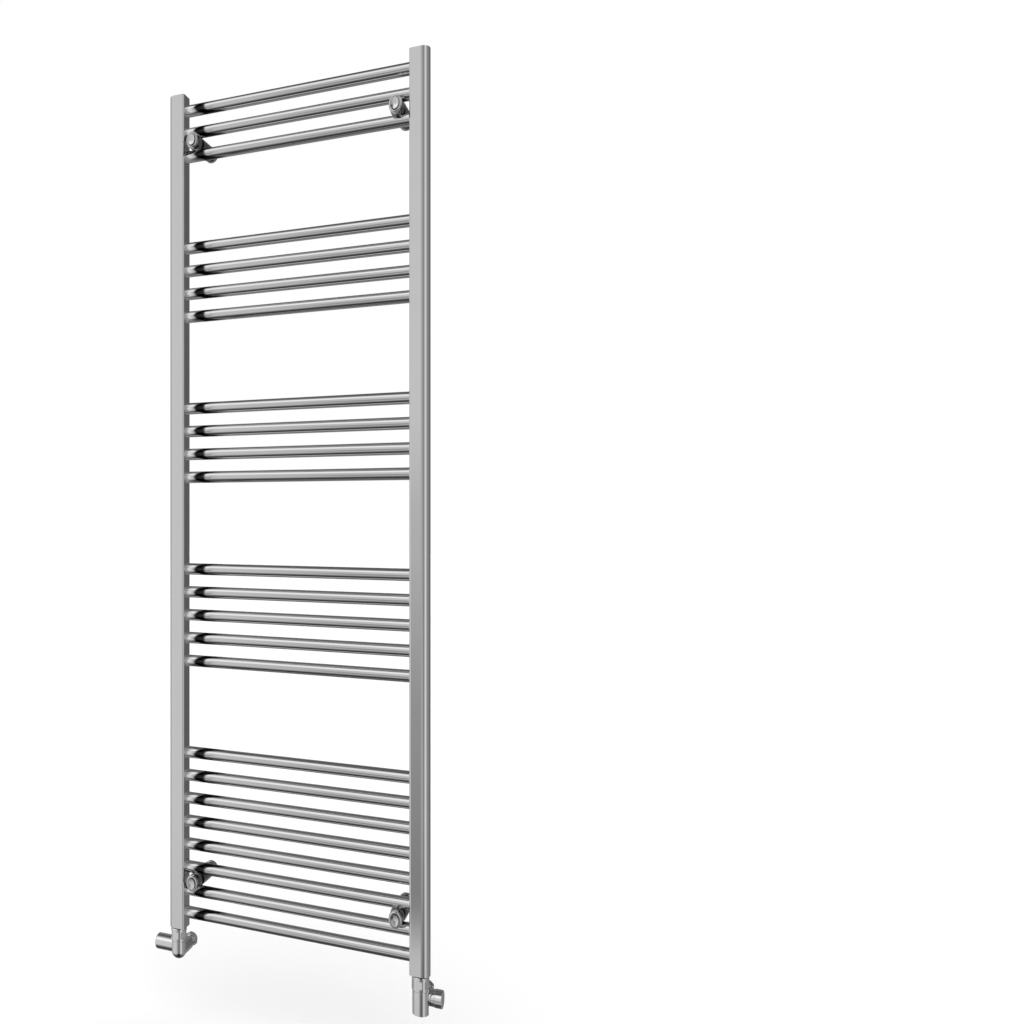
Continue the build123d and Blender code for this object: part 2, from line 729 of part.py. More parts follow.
def spindle_seal(side, seal_level):
    """The O-ring in the spindle's groove."""
    thickness = spindle_seal_thickness
    with BuildPart() as seal:
        with Locations(head_plane(side).offset(seal_level + spindle_groove_width / 2)):
            Torus(spindle_groove_radius + thickness / 2 + spindle_seal_gap, thickness / 2)
    return seal


for valve, side in (("handwheel_valve", handwheel_side), ("lockshield_valve", lockshield_side)):
    save(union_tail(side), f"{valve}_tail")
    save(tail_seal(side), f"{valve}_tail_seal")
    save(compression_nut(side), f"{valve}_compression_nut")
    save(compression_olive(side), f"{valve}_olive")
    save(jumper(side), f"{valve}_jumper")
    save(jumper_washer(side), f"{valve}_jumper_washer")

# ---- Handwheel valve, left ----
wheel_axis = head_plane(handwheel_side)

with BuildPart() as handwheel_valve_body:
    valve_shell(handwheel_side, handwheel_neck_radius, handwheel_seat)
    with Locations(run_plane(handwheel_side).origin):
        Sphere(run_radius)
    valve_waterways(handwheel_side, handwheel_seat)
    rod(run_plane(handwheel_side), run_bore_radius, 0, run_top, mode=Mode.SUBTRACT)
    with Locations(run_plane(handwheel_side).origin):
        Sphere(run_bore_radius, mode=Mode.SUBTRACT)
save(handwheel_valve_body, "handwheel_valve_body")

wheel_flange_radius = chamber_radius + headwork_flange_step
save(headwork(handwheel_side, handwheel_seat, wheel_flange_radius, handwheel_headwork_top),
     "handwheel_valve_headwork")
wheel_spindle = spindle(handwheel_side, handwheel_spindle_top, handwheel_seal_level,
                        handwheel_headwork_top)
with wheel_spindle:
    screw_hole_start = handwheel_spindle_top - handwheel_screw_length
    rod(wheel_axis, handwheel_screw_radius + handwheel_screw_fit, screw_hole_start,
        handwheel_spindle_top, mode=Mode.SUBTRACT)
save(wheel_spindle, "handwheel_valve_spindle")
save(spindle_seal(handwheel_side, handwheel_seal_level), "handwheel_valve_spindle_seal")

wheel_bottom = handwheel_seat + handwheel_gap
disc_seat = handwheel_top - handwheel_disc_thickness
web_bottom = handwheel_web_top - handwheel_web_thickness
disc_recess = handwheel_disc_radius + handwheel_disc_clearance
hub_pocket = handwheel_hub_radius + handwheel_hub_step

with BuildPart() as handwheel:
    turn(wheel_axis, [
        (handwheel_radius - handwheel_wall, wheel_bottom), (handwheel_radius - fine_edge, wheel_bottom),
        (handwheel_radius, wheel_bottom + fine_edge),
        (handwheel_radius, handwheel_top - handwheel_rim_chamfer),
        (handwheel_radius - handwheel_rim_step, handwheel_top - handwheel_rim_drop),
        (disc_recess + handwheel_rim_drop, handwheel_top), (disc_recess, handwheel_top),
        (disc_recess, disc_seat), (hub_pocket, disc_seat), (hub_pocket, handwheel_web_top),
        (0, handwheel_web_top),
        (0, handwheel_hub_bottom), (handwheel_hub_radius, handwheel_hub_bottom),
        (handwheel_hub_radius, web_bottom), (handwheel_radius - handwheel_wall, web_bottom),
    ])
    prism(wheel_axis, spindle_square + handwheel_square_fit, 4, handwheel_hub_bottom,
          handwheel_spindle_top + handwheel_square_gap, mode=Mode.SUBTRACT)
    rod(wheel_axis, handwheel_screw_radius + handwheel_screw_clearance, handwheel_hub_bottom,
        handwheel_web_top, mode=Mode.SUBTRACT)
save(handwheel, "handwheel")

with BuildPart() as handwheel_disc:
    disc_face = handwheel_top + handwheel_disc_proud
    turn(wheel_axis, [
        (0, disc_seat), (handwheel_disc_radius, disc_seat),
        (handwheel_disc_radius, disc_face - fine_edge), (handwheel_disc_radius - fine_edge, disc_face),
        (0, disc_face),
    ])
save(handwheel_disc, "handwheel_disc")

with BuildPart() as handwheel_screw:
    screw_head_top = handwheel_web_top + handwheel_screw_head_height
    screw_tip = handwheel_spindle_top - handwheel_screw_length + handwheel_screw_end_gap
    rod(wheel_axis, handwheel_screw_radius, screw_tip, handwheel_web_top)
    rod(wheel_axis, handwheel_screw_head_radius, handwheel_web_top, screw_head_top)
    with BuildSketch(wheel_axis.offset(screw_head_top)) as slot:
        Rectangle(2 * handwheel_screw_head_radius, handwheel_slot_width)
    extrude(slot.sketch, amount=-handwheel_slot_depth, mode=Mode.SUBTRACT)
save(handwheel_screw, "handwheel_screw")

# ---- Lockshield valve, right, with its spare port below ----
shield_axis = head_plane(lockshield_side)
shield_run = run_plane(lockshield_side)

with BuildPart() as lockshield_valve_body:
    valve_shell(lockshield_side, lockshield_body_radius, lockshield_seat)
    rod(shield_run, run_radius, -spare_port_depth, 0)
    valve_waterways(lockshield_side, lockshield_seat)
    rod(shield_run, run_bore_radius, -spare_port_depth, run_top, mode=Mode.SUBTRACT)
    mouth_radius = spare_port_radius + spare_port_chamfer
    turn(shield_run, [
        (0, -spare_port_depth), (mouth_radius, -spare_port_depth),
        (spare_port_radius, -spare_port_depth + spare_port_chamfer),
        (spare_port_radius, -spare_port_depth + spare_port_length),
        (0, -spare_port_depth + spare_port_length),
    ], mode=Mode.SUBTRACT)
save(lockshield_valve_body, "lockshield_valve_body")

save(headwork(lockshield_side, lockshield_seat, cap_flange_radius, lockshield_headwork_top),
     "lockshield_valve_headwork")
save(spindle(lockshield_side, lockshield_spindle_top, lockshield_seal_level, lockshield_headwork_top),
     "lockshield_valve_spindle")
save(spindle_seal(lockshield_side, lockshield_seal_level), "lockshield_valve_spindle_seal")

with BuildPart() as lockshield_cap:
    cap_bottom = lockshield_seat + cap_gap
    cap_bore = cap_flange_radius + cap_clearance
    turn(shield_axis, [
        (cap_bore, cap_bottom), (cap_radius - fine_edge, cap_bottom),
        (cap_radius, cap_bottom + fine_edge), (cap_radius, cap_top - cap_edge),
        (cap_radius - cap_edge, cap_top), (0, cap_top),
        (0, cap_top - cap_roof), (cap_bore, cap_top - cap_roof),
    ])
save(lockshield_cap, "lockshield_cap")
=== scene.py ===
import math

import bpy
from bpy.props import FloatProperty, FloatVectorProperty, IntProperty, PointerProperty
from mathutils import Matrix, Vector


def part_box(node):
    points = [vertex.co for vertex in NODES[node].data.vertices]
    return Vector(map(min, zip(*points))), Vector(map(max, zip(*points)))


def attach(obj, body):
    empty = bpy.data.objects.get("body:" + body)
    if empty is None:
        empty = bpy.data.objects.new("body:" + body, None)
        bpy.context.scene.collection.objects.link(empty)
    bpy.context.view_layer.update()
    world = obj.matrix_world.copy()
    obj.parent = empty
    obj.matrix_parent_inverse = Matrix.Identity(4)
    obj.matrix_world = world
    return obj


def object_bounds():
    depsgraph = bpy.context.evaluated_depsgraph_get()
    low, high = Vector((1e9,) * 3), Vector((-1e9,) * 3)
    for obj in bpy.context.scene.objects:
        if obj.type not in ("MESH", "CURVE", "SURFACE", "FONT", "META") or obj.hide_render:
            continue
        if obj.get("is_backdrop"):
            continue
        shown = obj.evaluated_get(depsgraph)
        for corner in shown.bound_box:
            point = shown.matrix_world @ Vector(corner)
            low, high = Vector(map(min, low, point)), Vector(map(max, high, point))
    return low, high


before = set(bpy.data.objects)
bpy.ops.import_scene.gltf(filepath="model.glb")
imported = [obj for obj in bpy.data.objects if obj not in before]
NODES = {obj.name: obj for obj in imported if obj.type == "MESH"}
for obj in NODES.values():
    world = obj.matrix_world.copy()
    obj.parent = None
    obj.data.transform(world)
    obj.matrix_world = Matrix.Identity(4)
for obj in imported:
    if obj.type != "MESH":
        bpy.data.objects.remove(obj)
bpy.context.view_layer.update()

bl_info = {
    "name": "Ladder Towel Radiator",
    "version": (1, 0, 0),
    "blender": (4, 5, 0),
    "location": "View3D > Sidebar > Radiator",
    "description": "Finishes, welds, threads and studio for a ladder towel radiator with corner valves",
    "category": "Object",
}

RUNGS_PER_BANK = {"rung_bank_1": 3, "rung_bank_2": 4, "rung_bank_3": 4, "rung_bank_4": 5, "rung_bank_5": 8}
FULL_TURN = 2 * math.pi
WELD_SIDES = 48
SMOOTH_ANGLE = math.radians(35)
# The spare port's thread: turns, faces round a turn, and its start above the port's mouth in metres.
THREAD_TURNS = 6
THREAD_STEPS = 64
THREAD_START = 0.0022

# Polish as (roughness where it is smoothest, how much rougher it gets, strength of the ripple).
PLUG_POLISH = (0.04, 0.04, 0.02)
PLATE_POLISH = (0.12, 0.10, 0.1)
ARM_POLISH = (0.10, 0.06, 0.03)
FLANGE_POLISH = (0.12, 0.08, 0.03)
CLAMP_POLISH = (0.05, 0.04, 0.02)
VALVE_POLISH = (0.03, 0.03, 0.02)
# The tubes' polish without its roughness, which is a setting.
TUBE_SPREAD_AND_RIPPLE = (0.03, 0.02)
# Whole finishes as (colour, its darker drift, then the polish as above).
BRASS = ((0.78, 0.62, 0.34), (0.68, 0.52, 0.26), 0.18, 0.12, 0.1)
COPPER = ((0.86, 0.42, 0.22), (0.70, 0.30, 0.14), 0.14, 0.10, 0.1)
ZINC = ((0.52, 0.52, 0.50), (0.40, 0.40, 0.39), 0.25, 0.15, 0.1)
THREAD_FINISH = ((0.62, 0.56, 0.48), (0.50, 0.44, 0.36), 0.12, 0.10, 0.05)
SEAL_BLACK = (0.012, 0.012, 0.012)
# Polishing lines run along the axes whose numbers are small.
LINES_ALONG_X = (0.02, 1, 1)
LINES_ALONG_Z = (1, 1, 0.02)
LINES_AROUND_X = (1, 0.05, 0.05)

# The painted dark reflections near the rungs' left ends, shaped as tongues. Each edge lies at the first place
# along X, in metres, where the rung faces the front, and at the second at its top and bottom. The power sets
# how late it gets there.
TONGUE_START = (-0.196, -0.178, 1.5)
TONGUE_TIP = (-0.174, -0.134, 4.0)
TONGUE_BLUR = 0.003
# How far back a rung faces where the tongues fade out.
TONGUE_FRONT = (0.25, -0.05)
TONGUE_FLOOR = 0.06
# The oval of the screw covers as (axis, distance of its centre from the middle, half its size), in metres.
COVER_OVAL = ((0, 0.194, 0.00825), (2, 0.704, 0.012))
# The groove, as squares of the share of the oval's radius, and the depth of the hollow at its edge in metres.
COVER_GROOVE = (0.66, 0.86)
COVER_GROOVE_FLOOR = 0.12
COVER_DISH = 0.0015
# Behind these places, in metres along Y, the front clamps turn as dark as the arms.
CLAMP_RIM = (-0.0900, -0.0885)

# The studio around the radiator, as (angle in degrees, brightness) stops.
# Elevation runs from straight down to straight up. Azimuth 0 is in front, and 90 is towards +X.
FRONT_BY_ELEVATION = (
    (-90, 0.06), (-72, 0.07), (-64, 0.045), (-54, 0.07), (-44, 0.20), (-36, 0.40), (-28, 0.53), (-11, 0.53),
    (5, 0.58), (21, 0.78), (30, 1.05), (39, 1.48), (54, 1.00), (64, 0.40), (72, 0.13), (80, 0.11), (90, 0.13),
)
BACK_BY_ELEVATION = (
    (-90, 0.06), (-72, 0.08), (-60, 0.17), (-43, 0.26), (-20, 0.28), (0, 0.30), (27, 0.22), (56, 0.10),
    (72, 0.12), (90, 0.13),
)
AROUND_BY_AZIMUTH = (
    (-180, 1.0), (-10, 1.0), (-3, 0.5), (6, 0.09), (20, 0.05), (36, 0.06), (43, 0.5), (52, 1.15), (64, 1.15),
    (76, 0.8), (110, 1.0), (180, 1.0),
)
BELT_BY_AZIMUTH = (
    (-180, 0.13), (-150, 0.30), (-129, 0.35), (-87, 0.52), (-60, 0.70), (-45, 0.67), (-26, 0.66), (-19, 0.56),
    (-12, 0.66), (-3, 0.55), (16, 0.38), (31, 0.28), (46, 0.58), (58, 0.80), (66, 0.76), (73, 0.38),
    (91, 0.30), (112, 0.25), (139, 0.155), (154, 0.12), (180, 0.13),
)
BELT_SHARE_BY_ELEVATION = ((-90, 0.0), (-34, 0.0), (-20, 0.9), (-8, 1.0), (26, 1.0), (34, 0.0), (90, 0.0))
DIP_BY_ELEVATION = (
    (-90, 1.0), (-27, 1.28), (-26, 1.15), (-25, 0.93), (-24, 0.72), (-23, 0.50), (-22, 0.42), (-15, 0.49),
    (-10, 0.57), (-4, 0.74), (1, 0.84), (6, 1.0), (90, 1.0),
)
DIP_SHARE_BY_AZIMUTH = ((-180, 0.0), (-20, 0.0), (-16, 1.0), (-4, 1.0), (4, 0.0), (180, 0.0))
# How far towards the front a direction lies where the back of the studio gives way to its front.
FACING_SPAN = (-0.25, 0.25)
# The even light that matt surfaces get, the floor's grey, and its size in metres.
FLOOR_LIGHT = 1.22
FLOOR_GREY = 0.97
FLOOR_SIZE = 40.0
# The camera's sensor in millimetres, and how far its view is shifted sideways, as a share of that.
SENSOR_WIDTH = 36.0
CAMERA_SHIFT = 0.285


# ---- Node building ----
def add_node(tree, kind, **settings):
    """A new node with its plain properties set."""
    made = tree.nodes.new(kind)
    for name, value in settings.items():
        setattr(made, name, value)
    return made


def plug_in(tree, socket, source):
    """Join a socket to an output, or give it a value."""
    if isinstance(source, bpy.types.NodeSocket):
        tree.links.new(source, socket)
    else:
        socket.default_value = source


def math_node(tree, operation, first, second=None):
    """The result of one sum."""
    made = add_node(tree, "ShaderNodeMath", operation=operation)
    plug_in(tree, made.inputs[0], first)
    if second is not None:
        plug_in(tree, made.inputs[1], second)
    return made.outputs[0]


def mapped(tree, value, low, high, new_low=0.0, new_high=1.0, smooth=False):
    """A value carried from one range to another."""
    made = add_node(tree, "ShaderNodeMapRange", interpolation_type="SMOOTHSTEP" if smooth else "LINEAR")
    for socket, source in zip(made.inputs, (value, low, high, new_low, new_high)):
        plug_in(tree, socket, source)
    return made.outputs[0]


def grey_ramp(tree, factor, stops):
    """Brightness along stops of (place from 0 to 1, brightness)."""
    made = add_node(tree, "ShaderNodeValToRGB")
    made.color_ramp.interpolation = "CARDINAL"
    elements = made.color_ramp.elements
    while len(elements) < len(stops):
        elements.new(0.5)
    for element, (place, level) in zip(elements, stops):
        element.position = place
        element.color = (level, level, level, 1)
    plug_in(tree, made.inputs["Fac"], factor)
    return made.outputs["Color"]


def mixed(tree, share, first, second, kind="FLOAT"):
    """Two values or colours mixed by a share."""
    made = add_node(tree, "ShaderNodeMix", data_type=kind)
    wanted = {"FLOAT": (0, 2, 3, 0), "RGBA": (0, 6, 7, 2)}[kind]
    for index, source in zip(wanted, (share, first, second)):
        plug_in(tree, made.inputs[index], source)
    return made.outputs[wanted[3]]


def noise(tree, coordinates, scale, detail=2.0, rough=0.5, stretch=None):
    """Noise over object coordinates, drawn out along an axis if a stretch is given."""
    if stretch:
        drawn = add_node(tree, "ShaderNodeMapping")
        drawn.inputs["Scale"].default_value = stretch
        plug_in(tree, drawn.inputs["Vector"], coordinates)
        coordinates = drawn.outputs[0]
    made = add_node(tree, "ShaderNodeTexNoise")
    plug_in(tree, made.inputs["Vector"], coordinates)
    for name, value in (("Scale", scale), ("Detail", detail), ("Roughness", rough)):
        made.inputs[name].default_value = value
    return made.outputs["Fac"]


def apart(tree, vector):
    """The X, Y and Z of a vector."""
    made = add_node(tree, "ShaderNodeSeparateXYZ")
    plug_in(tree, made.inputs[0], vector)
    return made.outputs


def object_place(tree):
    """Object coordinates."""
    return add_node(tree, "ShaderNodeTexCoord").outputs["Object"]


def raise_surface(tree, height, distance=1.0, strength=1.0):
    """Bump the tree's surface by a height, on top of any bump that it has."""
    normal = tree.nodes["Principled BSDF"].inputs["Normal"]
    made = add_node(tree, "ShaderNodeBump")
    made.inputs["Strength"].default_value = strength
    made.inputs["Distance"].default_value = distance
    plug_in(tree, made.inputs["Height"], height)
    if normal.is_linked:
        plug_in(tree, made.inputs["Normal"], normal.links[0].from_socket)
    plug_in(tree, normal, made.outputs["Normal"])


def scaled(factor, tint):
    """A colour made lighter or darker."""
    return tuple(factor * c for c in tint)


def metal(name, tint, shade, roughness, roughness_spread, ripple, stretch=None, grain=700.0):
    """A metal whose tint drifts between two colours, with polishing lines and a fine ripple."""
    made = bpy.data.materials.new(name)
    made.use_nodes = True
    tree = made.node_tree
    shader = tree.nodes["Principled BSDF"]
    shader.inputs["Metallic"].default_value = 1.0
    coordinates = object_place(tree)
    drift = noise(tree, coordinates, 22.0, 3.0)
    plug_in(tree, shader.inputs["Base Color"],
            mixed(tree, mapped(tree, drift, 0.3, 0.7), (*shade, 1), (*tint, 1), "RGBA"))
    lines = noise(tree, coordinates, grain, 4.0, 0.6, stretch)
    haze = noise(tree, coordinates, 60.0, 2.0)
    polish = mixed(tree, 0.5, lines, haze)
    plug_in(tree, shader.inputs["Roughness"],
            mapped(tree, polish, 0.3, 0.7, roughness, roughness + roughness_spread))
    raise_surface(tree, noise(tree, coordinates, 140.0, 2.0), 0.0002, ripple)
    return made


def draw_in_ends(material, start, pull, power):
    """Lean the surface near the left ends of the rungs, as where a tube is drawn into its joint."""
    tree = material.node_tree
    along = apart(tree, object_place(tree))[0]
    past = math_node(tree, "SUBTRACT", math_node(tree, "MULTIPLY", along, -1.0), start)
    rise = math_node(tree, "POWER", math_node(tree, "MAXIMUM", past, 0.0), power)
    raise_surface(tree, math_node(tree, "MULTIPLY", rise, pull))


def darken(material, mask, floor):
    """Multiply a metal's colour by a floor value where the mask is 1."""
    tree = material.node_tree
    socket = tree.nodes["Principled BSDF"].inputs["Base Color"]
    plain = socket.links[0].from_socket
    made = add_node(tree, "ShaderNodeMix", data_type="RGBA", blend_type="MULTIPLY")
    for index, source in ((0, mask), (6, plain), (7, (floor, floor, floor, 1))):
        plug_in(tree, made.inputs[index], source)
    plug_in(tree, socket, made.outputs[2])


def paint_dark_reflection_tongues(material):
    """Painted dark reflections shaped as tongues near the left ends of the rungs, pointed along their tops
    and bottoms.
    """
    tree = material.node_tree
    source = add_node(tree, "ShaderNodeTexCoord")
    along = apart(tree, source.outputs["Object"])[0]
    _, back, above = apart(tree, source.outputs["Normal"])
    steep = math_node(tree, "ABSOLUTE", above)
    past = []
    for level, far, power in (TONGUE_START, TONGUE_TIP):
        edge = mapped(tree, math_node(tree, "POWER", steep, power), 0.0, 1.0, level, far)
        beyond = math_node(tree, "SUBTRACT", along, edge)
        past.append(mapped(tree, beyond, -TONGUE_BLUR, TONGUE_BLUR, smooth=True))
    tongue = math_node(tree, "MULTIPLY", past[0], math_node(tree, "SUBTRACT", 1.0, past[1]))
    in_front = mapped(tree, back, *TONGUE_FRONT, smooth=True)
    darken(material, math_node(tree, "MULTIPLY", tongue, in_front), TONGUE_FLOOR)


def dish_covers(material):
    """Hollow the screw covers a little, and shade the groove around them."""
    tree = material.node_tree
    place = apart(tree, object_place(tree))
    squares = []
    for index, centre, half in COVER_OVAL:
        off = math_node(tree, "SUBTRACT", math_node(tree, "ABSOLUTE", place[index]), centre)
        squares.append(math_node(tree, "POWER", math_node(tree, "DIVIDE", off, half), 2.0))
    spread = math_node(tree, "ADD", *squares)
    darken(material, mapped(tree, spread, *COVER_GROOVE, smooth=True), COVER_GROOVE_FLOOR)
    raise_surface(tree, math_node(tree, "MULTIPLY", spread, COVER_DISH))


def rubber(name, tint):
    """Black rubber with a fine moulded grain."""
    made = bpy.data.materials.new(name)
    made.use_nodes = True
    tree = made.node_tree
    shader = tree.nodes["Principled BSDF"]
    grain = noise(tree, object_place(tree), 1800.0, 4.0)
    plug_in(tree, shader.inputs["Base Color"],
            mixed(tree, grain, (*tint, 1), (*scaled(2.2, tint), 1), "RGBA"))
    plug_in(tree, shader.inputs["Roughness"], mapped(tree, grain, 0.3, 0.7, 0.42, 0.62))
    raise_surface(tree, grain, 0.0001, 0.25)
    return made


def finish_nodes(material, words):
    """Give a material to every CAD node whose name holds one of the words."""
    for name, node in NODES.items():
        if any(word in name for word in words):
            for slot in node.material_slots:
                slot.material = material


# ---- Modelling ----
def start_fresh():
    """Leave edit mode and deselect everything."""
    if bpy.context.object and bpy.context.object.mode != "OBJECT":
        bpy.ops.object.mode_set(mode="OBJECT")
    bpy.ops.object.select_all(action="DESELECT")


def select_only(*objects):
    """Select these objects alone, the first one active."""
    start_fresh()
    for piece in objects:
        piece.select_set(True)
    bpy.context.view_layer.objects.active = objects[0]


def finished(piece, name, body, material):
    """Name a piece, set its place into its mesh, shade it, and hand it to its CAD body."""
    select_only(piece)
    bpy.ops.object.transform_apply(location=True, rotation=True, scale=True)
    bpy.ops.object.shade_smooth_by_angle(angle=SMOOTH_ANGLE)
    piece.name = name
    piece.data.name = name
    piece.data.materials.clear()
    piece.data.materials.append(material)
    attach(piece, body)
    return piece


def turned_ring(outline, turn_count):
    """A closed ring about Z, pulled from one circle along an outline of (radius, height) points."""
    start_fresh()
    radius, height = outline[0]
    bpy.ops.mesh.primitive_circle_add(vertices=turn_count, radius=radius, fill_type="NOTHING",
                                      location=(0, 0, 0))
    ring = bpy.context.object
    bpy.ops.object.mode_set(mode="EDIT")
    bpy.ops.mesh.select_all(action="SELECT")
    bpy.ops.transform.translate(value=(0, 0, height))
    for next_radius, next_height in outline[1:]:
        bpy.ops.mesh.extrude_region_move(
            TRANSFORM_OT_translate={"value": (0, 0, next_height - height)})
        grown = next_radius / radius
        bpy.ops.transform.resize(value=(grown, grown, 1), center_override=(0, 0, 0))
        radius, height = next_radius, next_height
    bpy.ops.mesh.select_all(action="DESELECT")
    bpy.ops.mesh.select_mode(type="EDGE")
    bpy.ops.mesh.select_non_manifold()
    bpy.ops.mesh.bridge_edge_loops()
    bpy.ops.mesh.select_all(action="SELECT")
    bpy.ops.mesh.normals_make_consistent(inside=False)
    bpy.ops.object.mode_set(mode="OBJECT")
    return ring


def rung_places():
    """(height, radius) of every rung, from the boxes of the banks."""
    places = []
    for bank, count in RUNGS_PER_BANK.items():
        low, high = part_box(bank)
        radius = (high.y - low.y) / 2
        gap = (high.z - low.z - 2 * radius) / (count - 1)
        places += [(high.z - radius - i * gap, radius) for i in range(count)]
    return places


# ---- Settings ----
class PlatingSettings(bpy.types.PropertyGroup):
    """Colours and polish of the plated steel and brass."""
    chrome_tint: FloatVectorProperty(
        name="Chrome", description="Colour of the mirror chrome", subtype="COLOR", size=3, min=0, max=1,
        default=(0.80, 0.80, 0.80))
    valve_tint: FloatVectorProperty(
        name="Valve chrome", description="Colour of the bright chrome on the valves", subtype="COLOR", size=3,
        min=0, max=1, default=(0.88, 0.88, 0.88))
    bracket_tint: FloatVectorProperty(
        name="Bracket chrome", description="Colour of the dark polished arms", subtype="COLOR", size=3,
        min=0, max=1, default=(0.36, 0.37, 0.38))
    spigot_tint: FloatVectorProperty(
        name="Wall flanges", description="Colour of the flanges and spigots on the wall", subtype="COLOR",
        size=3, min=0, max=1, default=(0.66, 0.66, 0.67))
    polish: FloatProperty(
        name="Polish", description="Roughness of the mirror chrome where it is smoothest", min=0, max=1,
        default=0.03)
    drawn_from: FloatProperty(
        name="Drawn from", description="Distance from the middle at which the rungs start to be drawn in",
        unit="LENGTH", min=0, max=0.2, default=0.14)
    drawn_pull: FloatProperty(
        name="Drawn pull", description="How strongly the rung ends lean towards their joints",
        min=0, max=1000, default=190.0)
    drawn_power: FloatProperty(
        name="Drawn curve", description="How late the lean of the rung ends comes on", min=2, max=6,
        default=3.4)


class WeldSettings(bpy.types.PropertyGroup):
    """Sizes of the weld fillets at the rung ends."""
    reach: FloatProperty(
        name="Reach", description="How far a weld fillet runs out along the rung and over the upright",
        unit="LENGTH", min=0.0002, max=0.003, default=0.0011)
    steps: IntProperty(
        name="Steps", description="Faces across a weld fillet", min=2, max=12, default=5)


class ThreadSettings(bpy.types.PropertyGroup):
    """Sizes of the thread inside the spare port."""
    port_radius: FloatProperty(
        name="Port radius", description="Radius of the port's wall", unit="LENGTH", min=0.005, max=0.02,
        default=0.00935)
    pitch: FloatProperty(
        name="Pitch", description="Distance from one turn to the next", unit="LENGTH", min=0.001, max=0.003,
        default=0.001814)
    height: FloatProperty(
        name="Height", description="How far the thread stands in from the port's wall", unit="LENGTH",
        min=0.0001, max=0.001, default=0.00045)


class StudioSettings(bpy.types.PropertyGroup):
    """Floor, light and camera."""
    floor_drop: FloatProperty(
        name="Floor drop", description="How far the floor lies below the lowest valve", unit="LENGTH",
        min=0, max=1, default=0.11)
    brightness: FloatProperty(
        name="Brightness", description="Strength of the studio that the chrome reflects", min=0, max=3,
        default=1.0)
    camera_place: FloatVectorProperty(
        name="Camera", description="Where the camera stands", subtype="TRANSLATION", unit="LENGTH", size=3,
        default=(0.563, -1.675, -0.0006))
    camera_turn: FloatProperty(
        name="Camera turn", description="How far the camera is turned towards the left", subtype="ANGLE",
        default=math.radians(23.81))
    lens: FloatProperty(
        name="Lens", description="Focal length in millimetres on a 36 mm sensor", min=10, max=200,
        default=32.57)


# ---- Operators ----
class RADIATOR_OT_plate_ladder(bpy.types.Operator):
    """Give the uprights, rungs, end plates and top plugs their mirror chrome"""
    bl_idname = "radiator.plate_ladder"
    bl_label = "Plate the Ladder"

    def execute(self, context):
        plating = context.scene.plating
        tint = tuple(plating.chrome_tint)
        shade = scaled(0.985, tint)
        upright = metal("upright_chrome", tint, shade, plating.polish, *TUBE_SPREAD_AND_RIPPLE, LINES_ALONG_Z)
        rung = metal("rung_chrome", tint, shade, plating.polish, *TUBE_SPREAD_AND_RIPPLE, LINES_ALONG_X)
        plate = metal("plate_chrome", scaled(0.9, tint), scaled(0.85, tint), *PLATE_POLISH)
        draw_in_ends(rung, plating.drawn_from, plating.drawn_pull, plating.drawn_power)
        # Painted dark reflections near the rungs' left ends.
        paint_dark_reflection_tongues(rung)
        finish_nodes(upright, ("upright",))
        finish_nodes(rung, ("rung_bank",))
        finish_nodes(plate, ("end_plate",))
        finish_nodes(metal("plug_chrome", tint, shade, *PLUG_POLISH),
                     ("air_vent_plug", "blanking_plug", "bleed_screw"))
        return {"FINISHED"}


class RADIATOR_OT_plate_brackets(bpy.types.Operator):
    """Give the wall brackets, their screws and covers their finishes"""
    bl_idname = "radiator.plate_brackets"
    bl_label = "Plate the Wall Brackets"

    def execute(self, context):
        plating = context.scene.plating
        dark = tuple(plating.bracket_tint)
        bright = tuple(plating.chrome_tint)
        flange = tuple(plating.spigot_tint)
        finish_nodes(metal("bracket_dark_chrome", dark, scaled(0.85, dark), *ARM_POLISH),
                     ("bracket_arm",))
        finish_nodes(metal("spigot_chrome", flange, scaled(0.9, flange), *FLANGE_POLISH),
                     ("wall_spigot",))
        cover = metal("cover_chrome", bright, scaled(0.97, bright), *CLAMP_POLISH)
        dish_covers(cover)
        finish_nodes(cover, ("screw_covers",))
        clamp = metal("bracket_chrome", bright, scaled(0.97, bright), *CLAMP_POLISH)
        tree = clamp.node_tree
        back = apart(tree, object_place(tree))[1]
        darken(clamp, mapped(tree, back, *CLAMP_RIM), dark[0] / bright[0])
        finish_nodes(clamp, ("front_clamp",))
        finish_nodes(metal("screw_zinc", *ZINC), ("clamp_screws", "grub_screws"))
        return {"FINISHED"}


class RADIATOR_OT_plate_valves(bpy.types.Operator):
    """Give the valves their bright chrome, brass, copper and rubber"""
    bl_idname = "radiator.plate_valves"
    bl_label = "Plate the Valves"

    def execute(self, context):
        tint = tuple(context.scene.plating.valve_tint)
        chrome = metal("valve_chrome", tint, scaled(0.98, tint), *VALVE_POLISH)
        finish_nodes(chrome, ("valve_body", "valve_tail", "compression_nut", "lockshield_cap", "handwheel"))
        brass = metal("machined_brass", *BRASS, LINES_AROUND_X)
        finish_nodes(brass, ("headwork", "spindle", "jumper"))
        finish_nodes(metal("olive_copper", *COPPER), ("olive",))
        finish_nodes(metal("handwheel_screw_zinc", *ZINC), ("handwheel_screw",))
        finish_nodes(rubber("seal_rubber", SEAL_BLACK), ("_seal", "washer"))
        return {"FINISHED"}


